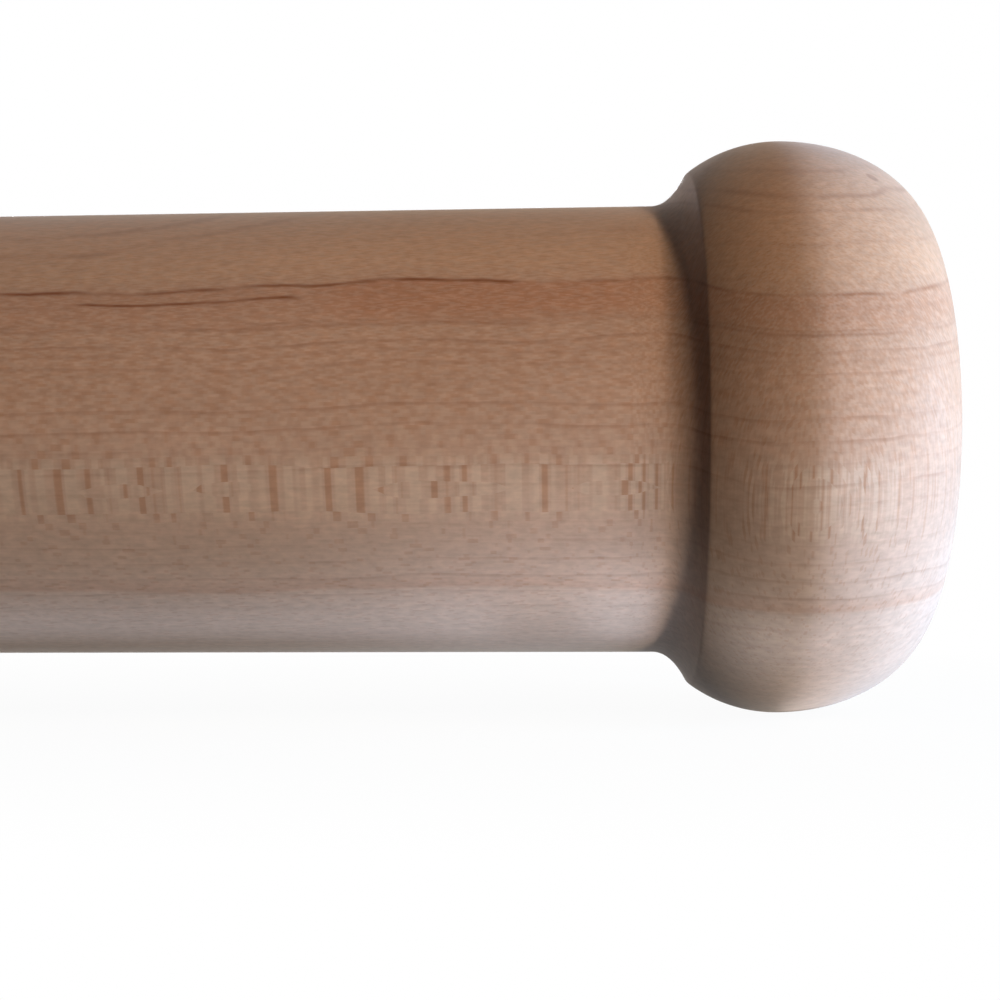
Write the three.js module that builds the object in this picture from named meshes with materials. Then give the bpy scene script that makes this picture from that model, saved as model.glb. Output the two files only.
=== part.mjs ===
// Wooden rolling pin with raised ends, in millimetres, +Z up.
// The pin lies along X with its origin on the axis, halfway along the barrel.
// A straight barrel carries a mushroom-shaped knob at each end. The knobs are wider than
// the barrel, so the pin rolls on them and leaves the dough at an even thickness.
// Each knob is a turning of its own, glued to the barrel over a fluted dowel.

import * as THREE from 'three';

// Barrel
const BARREL_DIAMETER = 45;
const BARREL_LENGTH = 450;

// Knob, along the axis from the seam: cove, arris, crown (widest ring), rounding, end face
const COVE_LENGTH = 3.6;
const COVE_FLANK_ANGLE = 63; // degrees, slope of the hollow where it meets the arris
const ARRIS_RISE = 3.15; // from the barrel's surface out to the arris
const CROWN_SETBACK = 8.4; // from the arris along to the crown
const CROWN_RISE = 2.85; // from the arris out to the crown
const ROUNDING_LENGTH = 14; // from the crown along to the end face
const ROUNDING_DEPTH = 9.5; // from the crown in to the end face's rim

// Dowel
const DOWEL_DIAMETER = 12;
const DOWEL_IN_BARREL = 24;
const DOWEL_IN_KNOB = 14;
const DOWEL_CHAMFER = 0.5;
const FLUTE_COUNT = 10;
const FLUTE_DEPTH = 0.3;

// Glue fit of the dowel in its sockets
const GLUE_GAP = 0.3; // all round the dowel
const GLUE_ROOM = 1; // past each end of the dowel

// Fineness of the round forms
const TURNED_SIDES = 48;
const COVE_STEPS = 6;
const CROWN_STEPS = 5;
const ROUNDING_STEPS = 9;
const STEPS_PER_FLUTE = 6;

// Sizes that follow
const barrelRadius = BARREL_DIAMETER / 2;
const arrisRadius = barrelRadius + ARRIS_RISE;
const crownRadius = arrisRadius + CROWN_RISE;
const endFaceRadius = crownRadius - ROUNDING_DEPTH;
const arrisPlace = COVE_LENGTH;
const crownPlace = arrisPlace + CROWN_SETBACK;
const knobLength = crownPlace + ROUNDING_LENGTH;
const seamPlace = BARREL_LENGTH / 2;
const dowelRadius = DOWEL_DIAMETER / 2;
const socketRadius = dowelRadius + GLUE_GAP;
const barrelSocketDepth = DOWEL_IN_BARREL + GLUE_ROOM;
const knobSocketDepth = DOWEL_IN_KNOB + GLUE_ROOM;

// Which way a knob and its dowel point along X
const RIGHT = 1;
const LEFT = -1;

// Maple as the photograph shows it, and the paler wood of the dowels
const MAPLE = { color: 0xb28a6e, roughness: 0.55, metalness: 0 };
const DOWEL_WOOD = { color: 0xc9a982, roughness: 0.7, metalness: 0 };

// Turns a profile of (radius, place along the axis) round the X axis, with a flat side down
function turned(profile, side) {
  const halfSide = Math.PI / TURNED_SIDES;
  const geometry = new THREE.LatheGeometry(profile, TURNED_SIDES, halfSide);
  return geometry.rotateZ(-side * Math.PI / 2);
}

// Barrel with a flat-bottomed socket in each end, drawn from one socket's floor to the other's
function barrelGeometry() {
  const socketFloor = seamPlace - barrelSocketDepth;
  const profile = [
    new THREE.Vector2(0, -socketFloor),
    new THREE.Vector2(socketRadius, -socketFloor),
    new THREE.Vector2(socketRadius, -seamPlace),
    new THREE.Vector2(barrelRadius, -seamPlace),
    new THREE.Vector2(barrelRadius, seamPlace),
    new THREE.Vector2(socketRadius, seamPlace),
    new THREE.Vector2(socketRadius, socketFloor),
    new THREE.Vector2(0, socketFloor),
  ];
  return turned(profile, RIGHT);
}

// Points of the cove: level with the barrel at the seam, at its steepest at the arris
function covePoints() {
  const flankRun = ARRIS_RISE / Math.tan(THREE.MathUtils.degToRad(COVE_FLANK_ANGLE));
  const seam = new THREE.Vector2(barrelRadius, 0);
  const bend = new THREE.Vector2(barrelRadius, arrisPlace - flankRun);
  const arris = new THREE.Vector2(arrisRadius, arrisPlace);
  return new THREE.QuadraticBezierCurve(seam, bend, arris).getPoints(COVE_STEPS);
}

// Points of the crown's arc after the arris, up to the widest ring, where it lies level
function crownPoints() {
  const arcRadius = (CROWN_SETBACK ** 2 + CROWN_RISE ** 2) / (2 * CROWN_RISE);
  const startAngle = Math.atan2(CROWN_SETBACK, arcRadius - CROWN_RISE);
  const centreRadius = crownRadius - arcRadius;
  const arc = new THREE.EllipseCurve(centreRadius, crownPlace, arcRadius, arcRadius, -startAngle, 0);
  return arc.getPoints(CROWN_STEPS).slice(1);
}

// Points of the quarter round after the widest ring, in to the end face's rim
function roundingPoints() {
  const quarter = Math.PI / 2;
  const arc = new THREE.EllipseCurve(endFaceRadius, crownPlace, ROUNDING_DEPTH, ROUNDING_LENGTH, 0, quarter);
  return arc.getPoints(ROUNDING_STEPS).slice(1);
}

// Knob with its socket, drawn from the socket's floor out over the knob to the end face
function knobGeometry(side) {
  const profile = [
    new THREE.Vector2(0, knobSocketDepth),
    new THREE.Vector2(socketRadius, knobSocketDepth),
    new THREE.Vector2(socketRadius, 0),
    ...covePoints(),
    ...crownPoints(),
    ...roundingPoints(),
    new THREE.Vector2(0, knobLength),
  ];
  return turned(profile, side);
}

// Section of a fluted dowel at its full width
function dowelSection() {
  const steps = FLUTE_COUNT * STEPS_PER_FLUTE;
  const points = [];
  for (let step = 0; step < steps; step += 1) {
    const angle = 2 * Math.PI * step / steps;
    const flute = FLUTE_DEPTH * (1 - Math.cos(FLUTE_COUNT * angle)) / 2;
    const radius = dowelRadius - flute;
    points.push(new THREE.Vector2(radius * Math.cos(angle), radius * Math.sin(angle)));
  }
  return new THREE.Shape(points);
}

// Dowel lying along X with the seam at its zero and chamfered ends, its longer part in the barrel
function dowelGeometry(side) {
  const geometry = new THREE.ExtrudeGeometry(dowelSection(), {
    depth: DOWEL_IN_BARREL + DOWEL_IN_KNOB - 2 * DOWEL_CHAMFER,
    bevelEnabled: true,
    bevelThickness: DOWEL_CHAMFER,
    bevelSize: DOWEL_CHAMFER,
    bevelOffset: -DOWEL_CHAMFER,
    bevelSegments: 1,
  });
  geometry.translate(0, 0, DOWEL_CHAMFER - DOWEL_IN_BARREL);
  return geometry.rotateY(side * Math.PI / 2);
}

// A named piece with a material of its own, moved along X
function piece(name, geometry, finish, place) {
  const mesh = new THREE.Mesh(geometry, new THREE.MeshStandardMaterial(finish));
  mesh.name = name;
  mesh.position.x = place;
  return mesh;
}

const rollingPin = new THREE.Group();
rollingPin.add(piece('barrel', barrelGeometry(), MAPLE, 0));
for (const [end, side] of [['right', RIGHT], ['left', LEFT]]) {
  rollingPin.add(piece(`knob_${end}`, knobGeometry(side), MAPLE, side * seamPlace));
  rollingPin.add(piece(`dowel_${end}`, dowelGeometry(side), DOWEL_WOOD, side * seamPlace));
}

export default rollingPin;
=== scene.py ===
"""Wooden rolling pin with raised ends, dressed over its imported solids.

The pin lies along X and rests on its two knobs. Barrel, knobs and dowels are turned pieces, each made
by one Geometry Nodes tree that turns a profile round the X axis. One field of maple grain runs through
barrel and knobs, so lines and flecks pass over the seams. Lengths are in metres, grain in millimetres.
"""

import math

import bmesh
import bpy
from bpy.props import FloatProperty, FloatVectorProperty, IntProperty, PointerProperty
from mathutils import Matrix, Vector


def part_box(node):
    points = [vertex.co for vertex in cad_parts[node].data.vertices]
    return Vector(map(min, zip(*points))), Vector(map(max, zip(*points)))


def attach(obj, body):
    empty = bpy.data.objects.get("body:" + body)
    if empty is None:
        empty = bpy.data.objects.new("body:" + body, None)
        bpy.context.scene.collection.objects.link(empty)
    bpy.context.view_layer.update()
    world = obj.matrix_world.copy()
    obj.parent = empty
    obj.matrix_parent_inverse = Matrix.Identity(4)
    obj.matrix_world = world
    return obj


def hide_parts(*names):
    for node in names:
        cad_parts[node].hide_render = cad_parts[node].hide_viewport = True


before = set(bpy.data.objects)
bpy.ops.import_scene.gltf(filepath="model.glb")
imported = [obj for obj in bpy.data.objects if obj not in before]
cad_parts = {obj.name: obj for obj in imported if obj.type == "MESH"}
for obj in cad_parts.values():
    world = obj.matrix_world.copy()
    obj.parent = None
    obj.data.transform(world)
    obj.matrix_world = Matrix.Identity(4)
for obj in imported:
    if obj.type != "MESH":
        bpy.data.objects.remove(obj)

bl_info = {
    "name": "Rolling Pin",
    "version": (1, 0, 0),
    "blender": (4, 5, 0),
    "location": "3D View > Sidebar > Rolling Pin",
    "description": "Turns a maple rolling pin with raised ends and sets it on a pale studio floor",
    "category": "Object",
}

MM = 0.001
BODY = "root"

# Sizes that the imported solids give. Their round forms have 48 flat sides, one of them facing down,
# so a round form's true radius reaches past its box.
SOLID_SIDES = 48
CORNER = 1 / math.cos(math.pi / SOLID_SIDES)
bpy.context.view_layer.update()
barrel_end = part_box("barrel")[1]
knob_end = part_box("knob_right")[1]
dowel_start, dowel_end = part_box("dowel_right")

RIGHT = 1
LEFT = -1

# How finely the turned forms are cut: bands along the barrel, steps along the curves of a knob's profile
# and over its eased arris, and sides to a flute
BARREL_BANDS = 45
CURVE_STEPS = 40
CROWN_STEPS = 32
EASE_STEPS = 8
FLUTE_SIDES = 8
# Points closer than this are merged, and an edge that turns by more than this stays sharp
CLOSING_REACH = 0.002 * MM
SHARP_EDGE = math.radians(35)

WHITE = (1, 1, 1, 1)
# A scale that turns metres into millimetres
TO_MM = (1 / MM, 1 / MM, 1 / MM)


def linear(colour):
    """An sRGB hex colour as linear red, green and blue."""
    channels = [int(colour[i:i + 2], 16) / 255 for i in (1, 3, 5)]
    return [c / 12.92 if c <= 0.04045 else ((c + 0.055) / 1.055) ** 2.4 for c in channels]


def length(name, description, default):
    """A size in metres."""
    return FloatProperty(name=name, description=description, default=default, min=0, unit="LENGTH",
                         precision=5)


def power(name, description, default):
    """A lamp's power in watts."""
    return FloatProperty(name=name, description=description, default=default, min=0, unit="POWER",
                         precision=5)


def millimetres(name, description, default):
    """A size of the grain, in millimetres."""
    return FloatProperty(name=name, description=description, default=default, precision=3)


def colour(name, description, default):
    """A colour, written as sRGB hex."""
    return FloatVectorProperty(name=name, description=description, default=linear(default), subtype="COLOR",
                               min=0, max=1)


class PinSizes(bpy.types.PropertyGroup):
    """Sizes of the turned pieces."""

    barrel_radius: length("Barrel radius", "Radius of the straight barrel", barrel_end.z * CORNER)
    seam_place: length("Seam place", "From the middle of the barrel to the seam", barrel_end.x)
    crown_radius: length("Crown radius", "Radius of a knob at its widest ring", knob_end.z * CORNER)
    end_place: length("End place", "From the middle of the barrel to an end face", knob_end.x)
    cove_length: length("Cove length", "From the seam along to the arris", 3.6 * MM)
    flank_angle: FloatProperty(name="Flank angle", description="Slope of the cove where it meets the arris",
                               default=math.radians(63), subtype="ANGLE")
    arris_rise: length("Arris rise", "From the barrel's surface out to the arris", 3.15 * MM)
    arris_ease: length("Arris ease", "How far sanding has rounded the arris to each side", 0.15 * MM)
    crown_setback: length("Crown setback", "From the arris along to the widest ring", 8.4 * MM)
    rounding_depth: length("Rounding depth", "From the widest ring in to the rim of the end face", 9.5 * MM)
    dowel_radius: length("Dowel radius", "Radius of a dowel over its ridges", dowel_end.z)
    dowel_in_barrel: length("Dowel in barrel", "Length of a dowel inside the barrel",
                            barrel_end.x - dowel_start.x)
    dowel_in_knob: length("Dowel in knob", "Length of a dowel inside a knob",
                          dowel_end.x - barrel_end.x)
    dowel_chamfer: length("Dowel chamfer", "Chamfer at a dowel's ends", 0.5 * MM)
    flute_depth: length("Flute depth", "Depth of the glue flutes along a dowel", 0.3 * MM)
    flutes: IntProperty(name="Flutes", description="Glue flutes round a dowel", default=10, min=1)
    glue_gap: length("Glue gap", "Room for glue all round a dowel", 0.3 * MM)
    glue_room: length("Glue room", "Room for glue past each end of a dowel", 1 * MM)
    sides: IntProperty(name="Sides", description="Sides of the turned forms", default=256, min=16)


class MapleLook(bpy.types.PropertyGroup):
    """Grain and colours of the maple."""

    lean: FloatProperty(name="Lean", description="How far the growth rings lean towards the camera",
                        default=math.radians(15.4), subtype="ANGLE")
    ring_width: millimetres("Ring width", "Wood grown in a year, in millimetres", 1.75)
    sapwood_height: millimetres("Sapwood height", "Where the sapwood starts, below the middle", -10.2)
    ray_thickness: millimetres("Ray thickness", "Thickness of a ray, a plate across the rings", 0.1)
    ray_height: millimetres("Ray height", "Height of a ray, measured along the pin", 1.5)
    wood: colour("Wood", "Clear sanded maple", "#be957c")
    ochre: colour("Ochre", "Lighter wood above the strongest growth line", "#cb9f80")
    sapwood: colour("Sapwood", "Paler, greyer wood below the sapwood line", "#d6c2b8")
    blush: colour("Blush", "Reddish wood between two strong growth lines", "#b57c5c")
    late_wood: colour("Late wood", "Dark wood at the end of a year's growth", "#80421a")
    fleck: colour("Fleck", "Ray seen flat on, as a brown fleck", "#ab724a")
    # Painted shade: the colour that the groove and the slope behind it are multiplied by
    groove_shade: colour("Groove shade", "What painted shade leaves of the wood's colour behind the groove", "#dfd8cd")
    silk: colour("Silk", "Rays seen flat on, where they shine pale", "#d4baa8")


class StageLook(bpy.types.PropertyGroup):
    """Floor and light."""

    key_power: power("Key", "Power of the warm lamp at the front right", 1.13)
    high_power: power("High", "Power of the warm lamp above it", 0.67)
    window_power: power("Window", "Power of the cool lamp past the right end", 1.02)
    sill_power: power("Sill", "Power of the cool light from the floor on the right", 0.273)
    rim_power: power("Rim", "Power of the lamp behind the right end", 0.9)
    low_power: power("Low", "Power of the light low in front of the neck", 0.00177)
    glow_power: power("Glow", "Power of each light that comes up at the neck", 0.00065)
    under_power: power("Under", "Power of the light that comes up under the knob", 0.00085)
    strip_power: power("Strip", "Power of the light that comes up under the barrel", 0.00042)
    neck_power: power("Neck", "Power of the light that comes up under the barrel's end", 0.00004)
    back_power: power("Back", "Power of the lamp behind the barrel", 1.0)
    fill_power: power("Fill", "Power of the lamp on the left end", 0.2)
    end_power: power("End", "Power of the lamp past the left end", 0.3)
    ambient: FloatProperty(name="Ambient", description="Strength of the light from all round",
                           default=0.004, min=0, precision=4)
    floor: colour("Floor", "Pale studio floor, as the camera sees it", "#f4f4f6")
    floor_back: colour("Floor back", "What the floor throws back on the pin", "#48484a")


def add(tree, kind, links=None, **settings):
    """Adds a node to a tree with its settings, and links or fills its inputs."""
    node = tree.nodes.new(kind)
    for setting, value in settings.items():
        setattr(node, setting, value)
    for name, source in (links or {}).items():
        if isinstance(source, bpy.types.Node):
            source = source.outputs[0]
        if isinstance(source, bpy.types.NodeSocket):
            tree.links.new(source, node.inputs[name])
        else:
            node.inputs[name].default_value = source
    return node


def turning_tree():
    """The Geometry Nodes tree that turns a profile round the X axis, made once."""
    name = "Turned form"
    if name in bpy.data.node_groups:
        return bpy.data.node_groups[name]
    tree = bpy.data.node_groups.new(name, "GeometryNodeTree")
    for socket, kind in (("Profile", "Geometry"), ("Sides", "Int"), ("Flutes", "Int"),
                         ("Flute Depth", "Float"), ("Material", "Material")):
        tree.interface.new_socket(socket, in_out="INPUT", socket_type="NodeSocket" + kind)
    tree.interface.new_socket("Turned", in_out="OUTPUT", socket_type="NodeSocketGeometry")
    inputs = add(tree, "NodeGroupInput").outputs

    # A grid with a row for each point of the profile and a column for each side, and one more to close it
    count = add(tree, "GeometryNodeAttributeDomainSize", {"Geometry": inputs["Profile"]}, component="MESH")
    rows = count.outputs["Point Count"]
    columns = add(tree, "ShaderNodeMath", {0: inputs["Sides"], 1: 1.0}, operation="ADD")
    grid = add(tree, "GeometryNodeMeshGrid", {"Vertices X": rows, "Vertices Y": columns})
    index = add(tree, "GeometryNodeInputIndex")
    share = add(tree, "ShaderNodeMath", {0: index, 1: columns}, operation="DIVIDE")
    row = add(tree, "ShaderNodeMath", {0: share}, operation="FLOOR")
    column = add(tree, "ShaderNodeMath", {0: index, 1: columns}, operation="MODULO")
    turn = add(tree, "ShaderNodeMath", {0: column, 1: inputs["Sides"]}, operation="DIVIDE")
    angle = add(tree, "ShaderNodeMath", {0: turn, 1: math.tau}, operation="MULTIPLY")

    # The profile's point for that row: its place along the axis, and its radius
    position = add(tree, "GeometryNodeInputPosition")
    sample = add(tree, "GeometryNodeSampleIndex", {"Geometry": inputs["Profile"], "Index": row},
                 data_type="FLOAT_VECTOR", domain="POINT")
    tree.links.new(position.outputs[0], sample.inputs["Value"])
    point = add(tree, "ShaderNodeSeparateXYZ", {0: sample})
    reach = add(tree, "ShaderNodeSeparateXYZ", {0: position})
    widest = add(tree, "GeometryNodeAttributeStatistic", {"Geometry": inputs["Profile"]}, data_type="FLOAT")
    tree.links.new(reach.outputs["Y"], widest.inputs["Attribute"])

    # Flutes draw the radius in by a wave round the axis
    fluted = add(tree, "ShaderNodeMath", {0: angle, 1: inputs["Flutes"]}, operation="MULTIPLY")
    wave = add(tree, "ShaderNodeMath", {0: fluted}, operation="COSINE")
    drop = add(tree, "ShaderNodeMapRange", {"Value": wave, "From Min": 1.0, "From Max": -1.0,
                                            "To Max": inputs["Flute Depth"]})
    ratio = add(tree, "ShaderNodeMath", {0: drop, 1: widest.outputs["Max"]}, operation="DIVIDE")
    kept = add(tree, "ShaderNodeMath", {0: 1.0, 1: ratio}, operation="SUBTRACT")
    radius = add(tree, "ShaderNodeMath", {0: point.outputs["Y"], 1: kept}, operation="MULTIPLY")
    cosine = add(tree, "ShaderNodeMath", {0: angle}, operation="COSINE")
    sine = add(tree, "ShaderNodeMath", {0: angle}, operation="SINE")
    across = add(tree, "ShaderNodeMath", {0: radius, 1: cosine}, operation="MULTIPLY")
    up = add(tree, "ShaderNodeMath", {0: radius, 1: sine}, operation="MULTIPLY")
    place = add(tree, "ShaderNodeCombineXYZ", {"X": point.outputs["X"], "Y": across, "Z": up})

    turned = add(tree, "GeometryNodeSetPosition", {"Geometry": grid, "Position": place})
    closed = add(tree, "GeometryNodeMergeByDistance", {"Geometry": turned, "Distance": CLOSING_REACH})
    smooth = add(tree, "GeometryNodeSetShadeSmooth", {"Geometry": closed})
    real = add(tree, "GeometryNodeRealizeInstances", {"Geometry": smooth})
    finished = add(tree, "GeometryNodeSetMaterial", {"Geometry": real, "Material": inputs["Material"]})
    add(tree, "NodeGroupOutput", {"Turned": finished})
    return tree


def turned_piece(name, profile, sides, material, flutes=1, flute_depth=0.0):
    """A named piece with its profile, a list of (place along the axis, radius), turned round the X axis."""
    wire = bpy.data.meshes.new(name)
    edges = [(i, i + 1) for i in range(len(profile) - 1)]
    wire.from_pydata([(place, radius, 0) for place, radius in profile], edges, [])
    piece = bpy.data.objects.new(name, wire)
    bpy.context.scene.collection.objects.link(piece)
    modifier = piece.modifiers.new("Turned form", "NODES")
    modifier.node_group = turning_tree()
    values = {"Sides": sides, "Flutes": flutes, "Flute Depth": flute_depth, "Material": material}
    for socket in modifier.node_group.interface.items_tree:
        if socket.name in values:
            modifier[socket.identifier] = values[socket.name]
    evaluated = piece.evaluated_get(bpy.context.evaluated_depsgraph_get())
    turned = bpy.data.meshes.new_from_object(evaluated)
    piece.modifiers.remove(modifier)
    piece.data = turned
    bpy.data.meshes.remove(wire)
    turned.name = name
    shape = bmesh.new()
    shape.from_mesh(turned)
    bmesh.ops.recalc_face_normals(shape, faces=shape.faces)
    shape.to_mesh(turned)
    shape.free()
    if not turned.polygons:
        raise RuntimeError(f"{name}: the profile gave no faces")
    turned.set_sharp_from_angle(angle=SHARP_EDGE)
    return piece


def bend(start, corner, end, steps):
    """Points of a curve that leaves start towards corner and comes to end from corner."""
    points = []
    for step in range(steps + 1):
        t = step / steps
        shares = ((1 - t) ** 2, 2 * t * (1 - t), t ** 2)
        points.append(tuple(sum(s * p[i] for s, p in zip(shares, (start, corner, end))) for i in (0, 1)))
    return points


def arc(centre, along, out, first, last, steps):
    """Points of an elliptical arc about centre, between two angles measured from straight out."""
    points = []
    for step in range(steps + 1):
        angle = first + (last - first) * step / steps
        points.append((centre[0] + along * math.sin(angle), centre[1] + out * math.cos(angle)))
    return points


def eased(before, corner, after, reach, steps):
    """Two runs of points that meet at a corner, joined with the corner rounded off."""
    start = [point for point in before if math.dist(point, corner) > reach]
    end = [point for point in after if math.dist(point, corner) > reach]
    return start + bend(start[-1], corner, end[0], steps)[1:-1] + end


def barrel_profile(sizes):
    """The barrel from one socket's floor, out over the straight side, to the other socket's floor."""
    seam = sizes.seam_place
    socket = sizes.dowel_radius + sizes.glue_gap
    floor = seam - sizes.dowel_in_barrel - sizes.glue_room
    left_socket = [(-floor, 0), (-floor, socket), (-seam, socket)]
    side = [(-seam + 2 * seam * i / BARREL_BANDS, sizes.barrel_radius) for i in range(BARREL_BANDS + 1)]
    right_socket = [(seam, socket), (floor, socket), (floor, 0)]
    return left_socket + side + right_socket


def knob_profile(sizes, end):
    """A knob from its socket's floor, out over cove, arris, crown and rounding, to its end face."""
    seam = sizes.seam_place
    socket = sizes.dowel_radius + sizes.glue_gap
    floor = seam + sizes.dowel_in_knob + sizes.glue_room
    level = sizes.barrel_radius
    arris = (seam + sizes.cove_length, level + sizes.arris_rise)
    crown_place = arris[0] + sizes.crown_setback
    crown_rise = sizes.crown_radius - arris[1]
    flank_start = (arris[0] - sizes.arris_rise / math.tan(sizes.flank_angle), level)
    cove = bend((seam, level), flank_start, arris, CURVE_STEPS)
    crown_arc = (sizes.crown_setback ** 2 + crown_rise ** 2) / (2 * crown_rise)
    spread = math.asin(sizes.crown_setback / crown_arc)
    crown_centre = (crown_place, sizes.crown_radius - crown_arc)
    crown = arc(crown_centre, crown_arc, crown_arc, -spread, 0, CROWN_STEPS)
    rim = sizes.crown_radius - sizes.rounding_depth
    rounding_length = sizes.end_place - crown_place
    rounding = arc((crown_place, rim), rounding_length, sizes.rounding_depth, 0, math.pi / 2, CURVE_STEPS)
    outside = eased(cove, arris, crown, sizes.arris_ease, EASE_STEPS) + rounding[1:]
    points = [(floor, 0), (floor, socket), (seam, socket)] + outside + [(sizes.end_place, 0)]
    return [(end * place, radius) for place, radius in points]


def dowel_profile(sizes, end):
    """A dowel with chamfered ends, lying across the seam."""
    start = sizes.seam_place - sizes.dowel_in_barrel
    stop = sizes.seam_place + sizes.dowel_in_knob
    chamfer = sizes.dowel_chamfer
    radius = sizes.dowel_radius
    points = [(start, 0), (start, radius - chamfer), (start + chamfer, radius),
              (stop - chamfer, radius), (stop, radius - chamfer), (stop, 0)]
    return [(end * place, reach) for place, reach in points]


def new_material(name):
    """An empty node material and its tree."""
    if name in bpy.data.materials:
        bpy.data.materials.remove(bpy.data.materials[name])
    material = bpy.data.materials.new(name)
    material.use_nodes = True
    material.node_tree.nodes.clear()
    return material, material.node_tree


# The maple's grain. Sizes are in millimetres, heights go up across the rings from the middle of the pin, and
# a stretch of the pin has four places: where it starts, is full, starts to fade and ends.

# Growth lines that stand out from the rest: height, half width, how dark, and where they start and end
GROWTH_LINES = (
    (26.0, 0.35, 0.2, -300, 300),
    (24.2, 0.35, 0.3, -300, 300),
    (22.9, 0.3, 0.25, -300, 300),
    (20.3, 0.3, 0.15, 215, 300),
    (16.7, 0.25, 0.9, -300, 214),
    (16.7, 0.26, 0.4, 200, 300),
    (15.7, 0.22, 0.9, 172, 194),
    (13.5, 0.28, 0.3, -300, 300),
    (11.3, 0.32, 0.16, -300, 300),
)
# How far to each side of its start such a line comes in, and how far before its end it starts to fade
LINE_START = 2
LINE_FADE = 3
# The faint line of each year: its least and greatest darkness, and the parts of the year in which it rises
# and ends
YEAR_DARKNESS = (0.06, 0.28)
YEAR_LINE_START = (0.72, 0.92)
YEAR_LINE_END = (1.0, 0.94)
# Heights over which those lines fade out upwards, and downwards to what is left of them in the sapwood
YEARS_FADE_UP = (17, 13)
YEARS_FADE_DOWN = (-13, -9)
YEARS_IN_SAPWOOD = 0.4
# All growth lines are smudged: the values of a noise between which they clear, and what a smudge leaves
SMUDGE_CLEARS = (0.35, 0.6)
SMUDGE_LEAVES = 0.3
# Where the rings step up towards the right knob: how far, and the stretch of the pin
STEP_UP = 0.45
STEP_STRETCH = (192, 203, 224, 234)
# Where a twig once pulled the upper rings down: how far, the rings that gave way, and the stretch
TWIG_PULL = 3.5
TWIG_RINGS = (16.9, 19.3)
TWIG_STRETCH = (100, 150, 168, 200)
# How far the rings ripple and quiver to either side
RIPPLE = 0.7
QUIVER = 0.12
# A pin knot near the top of the right knob: its place along the pin and along the rings, its reach, the
# heights over which it comes in, how far it lifts the rings, where its heart starts, and how dark that is
PIN_KNOT = (244.2, -9.6)
KNOT_REACH = 4.0
KNOT_RINGS = (10, 15)
KNOT_LIFT = 0.6
KNOT_HEART = (0.92, 0.98)
KNOT_DARKNESS = 0.4
# Lighter wood above the strongest growth line: the heights over which it comes in, and how much
LIGHT_RINGS = (15.8, 19.0)
LIGHT_SHARE = 0.7
# Painted light from below: the wood pales and greys on the way down. The heights over which it does, and how
# much
UNDERLIGHT_HEIGHTS = (12, -13)
UNDERLIGHT_SHARE = 0.8
# The edge of the sapwood: how far it sways, where the sapwood and its brown border come in and where the
# border fades, measured up from the edge, and how much both show
EDGE_SWAY = 0.7
SAPWOOD_START = (0.15, -0.25)
BORDER_START = (-0.1, 0.3)
BORDER_FADE = (2.0, 0.0)
EDGE_SHARE = 0.3
# Reddish wood under the strongest line: the heights over which it comes in and ends, how much there is, and
# how much more along one stretch of the pin
BLUSH_START = (13.2, 14.8)
BLUSH_END = (16.9, 16.5)
BLUSH_SHARE = 0.3
BLUSH_MORE = 0.4
BLUSH_STRETCH = (192, 199, 219, 228)
# Painted shade in the groove and on the slope behind it: the stretch from the middle to each end
GROOVE_SHADE_STRETCH = (226.5, 228.8, 236, 239.5)
# Rays: how far a layer of them waves, in layers, and by how many rays it is shifted against the next
RAY_WAVE = 0.4
LAYER_SHIFT = 17.31
# Where the rays start to lie closer, towards the right end, and how many more there are in each millimetre
CLOSE_RAYS = 222
MORE_RAYS = 1.15
# The band where the surface runs along the rays and shows them flat on: how much its normal may point
# across the rings and along the pin, and how silky the band is as a whole
BAND_ACROSS = (0.15, 0.07)
BAND_ALONG = (0.55, 0.1)
BAND_SILK = 0.2
# The values of the rays that turn pale and brown, and how much they show off the band and in it
PALE_RAYS = (0.47, 0.58)
BROWN_RAYS = (0.42, 0.3)
OFF_BAND = 0.2
PALE_IN_BAND = 0.85
BROWN_IN_BAND = 0.45
# Patches of the grain's patterns, in millimetres along the pin, along the rings and across them. Single
# fibres and pores are far finer in real maple, and are drawn as coarse as they need to show.
RIPPLE_PATCH = (16, 10, 9)
QUIVER_PATCH = (2.5, 2.5, 2.5)
SMUDGE_PATCH = (5, 4, 2)
EDGE_PATCH = (14, 8, 8)
RAY_PATCH = (10, 6, 4)
FIBRE_PATCH = (3, 0.25, 0.25)
DRIFT_PATCH = (40, 9, 6)
PORE_PATCH = (1.1, 0.6, 0.6)
FINE_DETAIL = 2.0
# Tone of fibres, slow drifts and pores: the values of their noise that it follows, and how far it goes
FIBRE_TONE = (0.25, 0.75, 0.05)
DRIFT_TONE = (0.3, 0.7, 0.05)
PORE_TONE = (0.3, 0.7, 0.08)
# Streaks of the dowels' birch in millimetres, along and across. They too are coarser than real fibres.
BIRCH_STREAK = (50 / 3, 1 / 3, 1 / 3)
BIRCH_DETAIL = 3.0


def patches(tree, grain, size, detail=1.0):
    """A noise with patches of that size, in millimetres along the grain's three axes."""
    place = add(tree, "ShaderNodeVectorMath", {0: grain, 1: size}, operation="DIVIDE")
    return add(tree, "ShaderNodeTexNoise", {"Vector": place, "Scale": 1.0, "Detail": detail})


def sway(tree, grain, size, reach):
    """A noise with patches of that size, which goes as far as reach to either side."""
    noise = patches(tree, grain, size)
    return add(tree, "ShaderNodeMapRange", {"Value": noise, "To Min": -reach, "To Max": reach})


def tone(tree, noise, low, high, reach):
    """A factor that goes as far as reach below and above 1 while a noise goes from low to high."""
    return add(tree, "ShaderNodeMapRange", {"Value": noise, "From Min": low, "From Max": high,
                                            "To Min": 1 - reach, "To Max": 1 + reach})


def between(tree, value, low, high, share=1.0):
    """A share that rises smoothly from nothing at low to its full at high, which may lie below low."""
    return add(tree, "ShaderNodeMapRange", {"Value": value, "From Min": low, "From Max": high,
                                            "To Max": share}, interpolation_type="SMOOTHSTEP")


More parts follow.
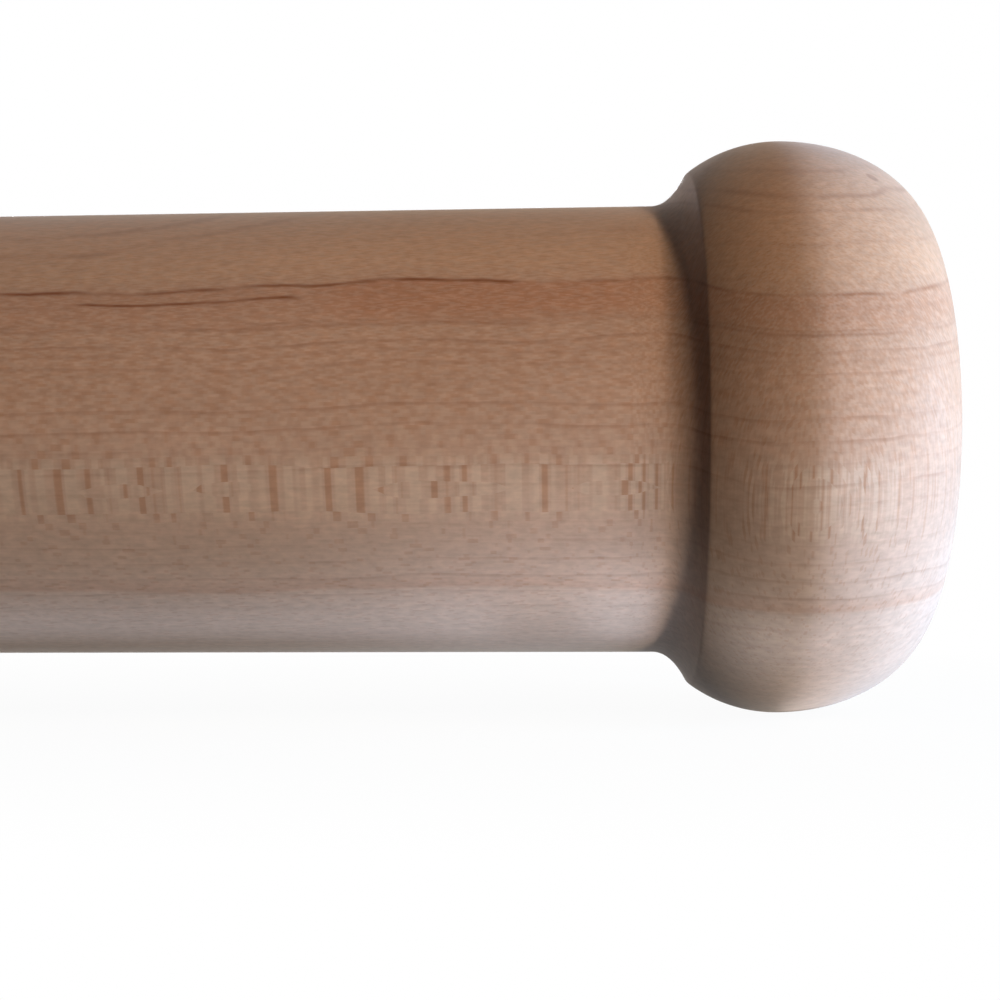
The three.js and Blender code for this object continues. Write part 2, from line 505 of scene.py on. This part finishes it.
def product(tree, *shares):
    """Shares multiplied together."""
    total = shares[0]
    for share in shares[1:]:
        total = add(tree, "ShaderNodeMath", {0: total, 1: share}, operation="MULTIPLY")
    return total


def stretch(tree, axes, start, full, fade, end, share=1.0):
    """A share along one stretch of the pin: it rises from start to full, and falls from fade to end."""
    return product(tree, between(tree, axes["X"], start, full, share), between(tree, axes["X"], end, fade))


def knot_nearness(tree, axes):
    """How near a point is to the pin knot: 1 at its heart, and nothing past its reach."""
    along = add(tree, "ShaderNodeMath", {0: axes["X"], 1: PIN_KNOT[0]}, operation="SUBTRACT")
    round_rings = add(tree, "ShaderNodeMath", {0: axes["Y"], 1: PIN_KNOT[1]}, operation="SUBTRACT")
    away = add(tree, "ShaderNodeCombineXYZ", {"X": along, "Y": round_rings})
    away = add(tree, "ShaderNodeVectorMath", {0: away}, operation="LENGTH").outputs["Value"]
    return product(tree, between(tree, away, KNOT_REACH, 0.0), between(tree, axes["Z"], *KNOT_RINGS))


def ring_height(tree, grain, axes, knot):
    """How far across the growth rings a point lies, in millimetres, with the rings' bends taken out."""
    gave_way = between(tree, axes["Z"], *TWIG_RINGS, TWIG_PULL)
    pull = product(tree, gave_way, stretch(tree, axes, *TWIG_STRETCH))
    step = stretch(tree, axes, *STEP_STRETCH, STEP_UP)
    height = add(tree, "ShaderNodeMath", {0: axes["Z"], 1: pull}, operation="ADD")
    height = add(tree, "ShaderNodeMath", {0: height, 1: step}, operation="SUBTRACT")
    height = add(tree, "ShaderNodeMath", {0: knot, 1: -KNOT_LIFT, 2: height}, operation="MULTIPLY_ADD")
    for size, reach in ((RIPPLE_PATCH, RIPPLE), (QUIVER_PATCH, QUIVER)):
        swing = sway(tree, grain, size, reach)
        height = add(tree, "ShaderNodeMath", {0: height, 1: swing}, operation="ADD")
    return height


def growth_lines(tree, grain, axes, height, look):
    """How dark the growth lines make a point: a faint line for each year, and the few that stand out."""
    years = add(tree, "ShaderNodeMath", {0: height, 1: look.ring_width}, operation="DIVIDE")
    year = add(tree, "ShaderNodeMath", {0: years}, operation="FLOOR")
    season = add(tree, "ShaderNodeMath", {0: years}, operation="FRACT")
    chance = add(tree, "ShaderNodeTexWhiteNoise", {"W": year}, noise_dimensions="1D").outputs["Value"]
    faint, strong = YEAR_DARKNESS
    strength = add(tree, "ShaderNodeMapRange", {"Value": chance, "To Min": faint, "To Max": strong})
    clear = between(tree, axes["Z"], *YEARS_FADE_DOWN)
    clear = add(tree, "ShaderNodeMapRange", {"Value": clear, "To Min": YEARS_IN_SAPWOOD})
    dark = product(tree, between(tree, season, *YEAR_LINE_START), between(tree, season, *YEAR_LINE_END),
                   strength, between(tree, axes["Z"], *YEARS_FADE_UP), clear)
    for place, reach, weight, start, end in GROWTH_LINES:
        off = add(tree, "ShaderNodeMath", {0: height, 1: place}, operation="SUBTRACT")
        off = add(tree, "ShaderNodeMath", {0: off}, operation="ABSOLUTE")
        line = between(tree, off, reach, 0.0, weight)
        run = stretch(tree, axes, start - LINE_START, start + LINE_START, end - LINE_FADE, end)
        dark = add(tree, "ShaderNodeMath", {0: dark, 1: product(tree, line, run)}, operation="MAXIMUM")
    low, high = SMUDGE_CLEARS
    uneven = add(tree, "ShaderNodeMapRange", {"Value": patches(tree, grain, SMUDGE_PATCH), "From Min": low,
                                              "From Max": high, "To Min": SMUDGE_LEAVES})
    return product(tree, dark, uneven)


def rays(tree, grain, axes, look):
    """A value that rises and falls from ray to ray.

    Rays lie in layers, and each is a plate that stands across the rings. The largest in real maple are
    about 0.1 mm thick and 1 mm high. They are drawn higher, as high as their flecks need to show.
    """
    layer = add(tree, "ShaderNodeMath", {0: axes["Y"], 1: look.ray_thickness}, operation="DIVIDE")
    wave = sway(tree, grain, RAY_PATCH, RAY_WAVE)
    layer = add(tree, "ShaderNodeMath", {0: layer, 1: wave}, operation="ADD")
    layer = add(tree, "ShaderNodeMath", {0: layer}, operation="FLOOR")
    place = add(tree, "ShaderNodeMath", {0: axes["X"], 1: look.ray_height}, operation="DIVIDE")
    place = add(tree, "ShaderNodeMath", {0: layer, 1: LAYER_SHIFT, 2: place}, operation="MULTIPLY_ADD")
    beyond = add(tree, "ShaderNodeMath", {0: axes["X"], 1: CLOSE_RAYS}, operation="SUBTRACT")
    beyond = add(tree, "ShaderNodeMath", {0: beyond, 1: 0.0}, operation="MAXIMUM")
    place = add(tree, "ShaderNodeMath", {0: beyond, 1: MORE_RAYS, 2: place}, operation="MULTIPLY_ADD")
    return add(tree, "ShaderNodeTexNoise", {"W": place, "Scale": 1.0, "Detail": 1.0}, noise_dimensions="1D")


# Hard maple, turned along the grain and sanded. Its growth rings are thin brown lines that run along the
# pin, and close to tangent they open into arcs. Its rays are plates that stand across the rings: where the
# surface runs along them they show as upright flecks and silky columns, and elsewhere as a fine speckle.
# Sanding leaves a soft satin with a pale bloom where the light grazes it.
def turned_maple(name, look):
    """Hard maple, turned and sanded."""
    material, tree = new_material(name)
    texture = add(tree, "ShaderNodeTexCoord").outputs
    lean = (-look.lean, 0, 0)
    grain = add(tree, "ShaderNodeMapping", {"Vector": texture["Object"], "Rotation": lean, "Scale": TO_MM})
    axes = add(tree, "ShaderNodeSeparateXYZ", {0: grain}).outputs
    facing = add(tree, "ShaderNodeMapping", {"Vector": texture["Normal"], "Rotation": lean})
    facing = add(tree, "ShaderNodeVectorMath", {0: facing}, operation="ABSOLUTE")
    facing = add(tree, "ShaderNodeSeparateXYZ", {0: facing}).outputs
    knot = knot_nearness(tree, axes)
    height = ring_height(tree, grain, axes, knot)
    dark = growth_lines(tree, grain, axes, height, look)
    heart = between(tree, knot, *KNOT_HEART, KNOT_DARKNESS)

    # The wood is lighter above the strongest growth line, and painted light from below makes it paler and
    # greyer on the way down
    light = between(tree, height, *LIGHT_RINGS, LIGHT_SHARE)
    painted_underlight = between(tree, axes["Z"], *UNDERLIGHT_HEIGHTS, UNDERLIGHT_SHARE)

    # The sapwood starts below a brown border
    edge = sway(tree, grain, EDGE_PATCH, EDGE_SWAY)
    above = add(tree, "ShaderNodeMath", {0: axes["Z"], 1: edge}, operation="ADD")
    above = add(tree, "ShaderNodeMath", {0: above, 1: look.sapwood_height}, operation="SUBTRACT")
    sap = between(tree, above, *SAPWOOD_START, EDGE_SHARE)
    border = between(tree, above, *BORDER_START)
    border = product(tree, border, between(tree, above, *BORDER_FADE, EDGE_SHARE))

    # Reddish wood under the strongest growth line
    blush = stretch(tree, axes, *BLUSH_STRETCH, BLUSH_MORE)
    blush = add(tree, "ShaderNodeMath", {0: blush, 1: BLUSH_SHARE}, operation="ADD")
    blush = product(tree, between(tree, height, *BLUSH_START), between(tree, height, *BLUSH_END), blush)

    # Rays: pale silky ones and a few brown ones, strong in the band where the surface runs along them
    ray = rays(tree, grain, axes, look)
    band = product(tree, between(tree, facing["Z"], *BAND_ACROSS), between(tree, facing["X"], *BAND_ALONG))
    silk = product(tree, band, BAND_SILK)
    shine = add(tree, "ShaderNodeMapRange", {"Value": band, "To Min": OFF_BAND, "To Max": PALE_IN_BAND})
    pale = product(tree, between(tree, ray, *PALE_RAYS), shine)
    depth = add(tree, "ShaderNodeMapRange", {"Value": band, "To Min": OFF_BAND, "To Max": BROWN_IN_BAND})
    brown = product(tree, between(tree, ray, *BROWN_RAYS), depth)

    base = (*look.wood, 1)
    shades = ((light, look.ochre), (painted_underlight, look.sapwood), (sap, look.sapwood), (border, look.blush),
              (blush, look.blush), (silk, look.silk), (pale, look.silk), (brown, look.fleck),
              (dark, look.late_wood), (heart, look.late_wood))
    for share, shade in shades:
        mixed = add(tree, "ShaderNodeMix", {"Factor": share, 6: base, 7: (*shade, 1)}, data_type="RGBA")
        base = mixed.outputs[2]

    # Painted shade darkens the wood in each groove and on the slope behind it
    out = add(tree, "ShaderNodeVectorMath", {0: grain}, operation="ABSOLUTE")
    out = add(tree, "ShaderNodeSeparateXYZ", {0: out}).outputs
    groove_shade = stretch(tree, out, *GROOVE_SHADE_STRETCH)
    groove_shade = add(tree, "ShaderNodeMix", {"Factor": groove_shade, 6: WHITE, 7: (*look.groove_shade, 1)}, data_type="RGBA")
    base = add(tree, "ShaderNodeVectorMath", {0: base, 1: groove_shade.outputs[2]}, operation="MULTIPLY")

    # Fibres make fine streaks along the pin, pores a fine mottle, and the tone drifts slowly
    fibre = patches(tree, grain, FIBRE_PATCH, FINE_DETAIL)
    drift = patches(tree, grain, DRIFT_PATCH)
    pores = patches(tree, grain, PORE_PATCH, FINE_DETAIL)
    tones = product(tree, tone(tree, fibre, *FIBRE_TONE), tone(tree, drift, *DRIFT_TONE),
                    tone(tree, pores, *PORE_TONE))
    base = add(tree, "ShaderNodeVectorMath", {0: base, 1: tones}, operation="MULTIPLY")

    rough = add(tree, "ShaderNodeMapRange", {"Value": fibre, "To Min": 0.42, "To Max": 0.62})
    bump = add(tree, "ShaderNodeBump", {"Strength": 0.15, "Distance": 0.04 * MM, "Height": fibre})
    surface = add(tree, "ShaderNodeBsdfPrincipled", {"Base Color": base, "Roughness": rough, "IOR": 1.5,
                                                     "Specular IOR Level": 0.1, "Sheen Weight": 0.2,
                                                     "Sheen Roughness": 0.5, "Normal": bump})
    add(tree, "ShaderNodeOutputMaterial", {"Surface": surface})
    return material


# Birch, milled into a fluted dowel and left bare for glue: pale, matt, with fine streaks along it.
def fluted_birch(name):
    """Birch, milled and left bare."""
    material, tree = new_material(name)
    place = add(tree, "ShaderNodeTexCoord").outputs["Object"]
    grain = add(tree, "ShaderNodeMapping", {"Vector": place, "Scale": TO_MM})
    fibre = patches(tree, grain, BIRCH_STREAK, BIRCH_DETAIL)
    dark = (*linear("#b8946a"), 1)
    light = (*linear("#dcc09a"), 1)
    base = add(tree, "ShaderNodeMix", {"Factor": fibre, 6: dark, 7: light}, data_type="RGBA").outputs[2]
    bump = add(tree, "ShaderNodeBump", {"Strength": 0.3, "Distance": 0.1 * MM, "Height": fibre})
    surface = add(tree, "ShaderNodeBsdfPrincipled", {"Base Color": base, "Roughness": 0.7, "Normal": bump})
    add(tree, "ShaderNodeOutputMaterial", {"Surface": surface})
    return material


def fit(piece, node):
    """Puts a finished piece in its solid's place."""
    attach(piece, BODY)
    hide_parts(node)


class TurnBarrel(bpy.types.Operator):
    """Turn the straight barrel, with a dowel socket in each end."""

    bl_idname = "rolling_pin.turn_barrel"
    bl_label = "Turn Barrel"

    def execute(self, context):
        sizes = context.scene.pin_sizes
        wood = turned_maple("hard maple turned and sanded barrel", context.scene.pin_maple)
        piece = turned_piece("barrel_turned", barrel_profile(sizes), sizes.sides, wood)
        fit(piece, "barrel")
        return {"FINISHED"}


class TurnKnobs(bpy.types.Operator):
    """Turn the raised knob at each end."""

    bl_idname = "rolling_pin.turn_knobs"
    bl_label = "Turn Knobs"

    def execute(self, context):
        sizes = context.scene.pin_sizes
        wood = turned_maple("hard maple turned and sanded knob", context.scene.pin_maple)
        for side, end in (("right", RIGHT), ("left", LEFT)):
            piece = turned_piece(f"knob_{side}_turned", knob_profile(sizes, end), sizes.sides, wood)
            fit(piece, f"knob_{side}")
        return {"FINISHED"}


class FluteDowels(bpy.types.Operator):
    """Make the fluted dowel that holds each knob."""

    bl_idname = "rolling_pin.flute_dowels"
    bl_label = "Flute Dowels"

    def execute(self, context):
        sizes = context.scene.pin_sizes
        wood = fluted_birch("birch milled and left bare")
        sides = FLUTE_SIDES * sizes.flutes
        for side, end in (("right", RIGHT), ("left", LEFT)):
            piece = turned_piece(f"dowel_{side}_fluted", dowel_profile(sizes, end), sides, wood,
                                 sizes.flutes, sizes.flute_depth)
            fit(piece, f"dowel_{side}")
        return {"FINISHED"}


# How far the floor reaches from the middle, by what share it looks white under the pin, and how far off the
# pin it looks all white
FLOOR_REACH = 3.0
WHITE_BELOW = 0.95
WHITE_PAST = 0.06
# Colours of the lamps
WARM = "#ffe8cb"
PALE = "#d2e8ff"
COOL = "#a8d6ff"
PLAIN = "#f6faff"
# Where the camera stands, low in front of the right end, and how it is turned, in degrees
CAMERA_PLACE = (0.2161, -0.14278, -0.00699)
CAMERA_TURN = (90, 0.375, 2.571)


def seen(tree):
    """1 for camera, glossy and transmission rays, and 0 for the rest."""
    path = add(tree, "ShaderNodeLightPath").outputs
    share = path["Is Camera Ray"]
    for kind in ("Is Glossy Ray", "Is Transmission Ray"):
        share = add(tree, "ShaderNodeMath", {0: share, 1: path[kind]}, operation="MAXIMUM")
    return share


def seen_white(tree, plain, share):
    """A shader that camera, glossy and transmission rays see as white by that share."""
    part = add(tree, "ShaderNodeMath", {0: seen(tree), 1: share}, operation="MULTIPLY")
    white = add(tree, "ShaderNodeEmission", {"Color": WHITE, "Strength": 1.0})
    return add(tree, "ShaderNodeMixShader", {0: part, 1: plain, 2: white})


# Board, painted matt: a pale floor without seam or shine. To the camera it is almost white under the pin,
# where a faint shadow stays, and white further off. What it throws back on the pin is darker.
def painted_board(name, look, pin_end):
    """Board, painted matt."""
    material, tree = new_material(name)
    back = (*look.floor_back, 1)
    pale = (*look.floor, 1)
    tint = add(tree, "ShaderNodeMix", {"Factor": seen(tree), 6: back, 7: pale}, data_type="RGBA").outputs[2]
    paint = add(tree, "ShaderNodeBsdfDiffuse", {"Color": tint})

    # How far a point lies off the line under the pin
    place = add(tree, "ShaderNodeTexCoord").outputs["Object"]
    off = add(tree, "ShaderNodeVectorMath", {0: place}, operation="ABSOLUTE")
    off = add(tree, "ShaderNodeVectorMath", {0: off, 1: (pin_end, 0, 1)}, operation="SUBTRACT")
    off = add(tree, "ShaderNodeVectorMath", {0: off, 1: (0, 0, 0)}, operation="MAXIMUM")
    off = add(tree, "ShaderNodeVectorMath", {0: off}, operation="LENGTH").outputs["Value"]
    share = add(tree, "ShaderNodeMapRange", {"Value": off, "From Max": WHITE_PAST, "To Min": WHITE_BELOW})
    add(tree, "ShaderNodeOutputMaterial", {"Surface": seen_white(tree, paint, share)})
    return material


def lay_floor(scene):
    """A wide floor that the knobs rest on."""
    sizes = scene.pin_sizes
    level = -sizes.crown_radius
    mesh = bpy.data.meshes.new("floor")
    signs = ((-1, -1), (1, -1), (1, 1), (-1, 1))
    mesh.from_pydata([(x * FLOOR_REACH, y * FLOOR_REACH, level) for x, y in signs], [], [(0, 1, 2, 3)])
    mesh.materials.append(painted_board("painted board floor", scene.pin_stage, sizes.end_place))
    floor = bpy.data.objects.new("floor", mesh)
    scene.collection.objects.link(floor)


def light_room(scene):
    """A dim light from all round, which the camera sees as white."""
    world = bpy.data.worlds.new("studio")
    world.use_nodes = True
    tree = world.node_tree
    tree.nodes.clear()
    ambient = add(tree, "ShaderNodeBackground", {"Color": WHITE, "Strength": scene.pin_stage.ambient})
    add(tree, "ShaderNodeOutputWorld", {"Surface": seen_white(tree, ambient, 1.0)})
    scene.world = world


def hang_lamps(scene):
    """Soft lamps round the pin, and small ones by the floor for the light that comes up from it."""
    look = scene.pin_stage
    sizes = scene.pin_sizes
    right = (sizes.seam_place, 0, 0)
    middle = (-0.05, 0, 0)
    left = (-0.25, 0, 0)
    neck = (0.215, 0, -0.01)
    near = (0.212, -0.01, -0.02)
    far = (0.21, -0.012, -0.02)
    low = MM - sizes.crown_radius
    foot = 0.2 * MM - sizes.crown_radius
    # Name, place, aim, which is None for straight up, width and depth, power, colour, spread in degrees
    lamps = (
        ("key lamp", (0.485, -0.433, -0.017), right, (0.04, 0.02), look.key_power, WARM, 180),
        ("high lamp", (0.585, -0.254, 0.25), right, (0.1, 0.1), look.high_power, WARM, 180),
        ("window lamp", (0.48, -0.043, 0.022), right, (0.05, 0.05), look.window_power, COOL, 180),
        ("sill glow", (0.33, -0.1, low), None, (0.1, 0.1), look.sill_power, COOL, 180),
        ("rim lamp", (0.25, 0.45, 0.1), right, (0.1, 0.1), look.rim_power, PLAIN, 180),
        ("low glow", (0.26, -0.04, -0.02), neck, (0.015, 0.015), look.low_power, PLAIN, 180),
        ("near glow", (0.25, -0.035, low), near, (0.008, 0.008), look.glow_power, PALE, 40),
        ("far glow", (0.245, -0.06, low), far, (0.006, 0.006), look.glow_power, PLAIN, 40),
        ("knob glow", (0.247, -0.017, foot), None, (0.02, 0.02), look.under_power, PLAIN, 180),
        ("barrel glow", (0.18, -0.0135, low), None, (0.06, 0.006), look.strip_power, PALE, 60),
        ("neck glow", (0.2215, -0.014, low), None, (0.006, 0.008), look.neck_power, PALE, 40),
        ("left front fill", (-0.25, -0.45, 0.5), left, (0.1, 0.1), look.fill_power, PLAIN, 30),
        ("back lamp", (-0.08, 0.5, 0.12), middle, (0.1, 0.1), look.back_power, PLAIN, 180),
        ("left end fill", (-0.6, 0, 0), left, (0.04, 0.04), look.end_power, PLAIN, 180),
    )
    for name, place, aim, (width, depth), watts, shade, spread in lamps:
        light = bpy.data.lights.new(name, "AREA")
        light.shape = "RECTANGLE"
        light.size = width
        light.size_y = depth
        light.energy = watts
        light.color = linear(shade)
        light.spread = math.radians(spread)
        way = Vector(aim) - Vector(place) if aim else Vector((0, 0, 1))
        lamp = bpy.data.objects.new(name, light)
        lamp.location = place
        lamp.rotation_euler = way.to_track_quat("-Z", "Y").to_euler()
        lamp.visible_camera = False
        scene.collection.objects.link(lamp)


def place_camera(scene):
    """The camera, with a lens that looks at the right end from close by."""
    lens = bpy.data.cameras.new("camera")
    lens.sensor_width = 36
    lens.lens = 50
    lens.clip_start = 0.01
    camera = bpy.data.objects.new("camera", lens)
    camera.location = CAMERA_PLACE
    camera.rotation_euler = [math.radians(turn) for turn in CAMERA_TURN]
    scene.collection.objects.link(camera)
    scene.camera = camera


class SetStage(bpy.types.Operator):
    """Lay the floor, set the lamps and place the camera."""

    bl_idname = "rolling_pin.set_stage"
    bl_label = "Set Stage"

    def execute(self, context):
        scene = context.scene
        scene.view_settings.view_transform = "Standard"
        lay_floor(scene)
        light_room(scene)
        hang_lamps(scene)
        place_camera(scene)
        return {"FINISHED"}


OPERATORS = (TurnBarrel, TurnKnobs, FluteDowels, SetStage)


class RollingPinPanel(bpy.types.Panel):
    """Lists the steps that make the pin."""

    bl_idname = "VIEW3D_PT_rolling_pin"
    bl_label = "Rolling Pin"
    bl_space_type = "VIEW_3D"
    bl_region_type = "UI"
    bl_category = "Rolling Pin"

    def draw(self, context):
        for step in OPERATORS:
            self.layout.operator(step.bl_idname)


CLASSES = (PinSizes, MapleLook, StageLook, *OPERATORS, RollingPinPanel)


def register():
    for kind in CLASSES:
        bpy.utils.register_class(kind)
    bpy.types.Scene.pin_sizes = PointerProperty(type=PinSizes)
    bpy.types.Scene.pin_maple = PointerProperty(type=MapleLook)
    bpy.types.Scene.pin_stage = PointerProperty(type=StageLook)


def unregister():
    del bpy.types.Scene.pin_stage
    del bpy.types.Scene.pin_maple
    del bpy.types.Scene.pin_sizes
    for kind in reversed(CLASSES):
        bpy.utils.unregister_class(kind)


def main():
    register()
    bpy.ops.rolling_pin.turn_barrel()
    bpy.ops.rolling_pin.turn_knobs()
    bpy.ops.rolling_pin.flute_dowels()
    bpy.ops.rolling_pin.set_stage()


if __name__ == "__main__":
    main()
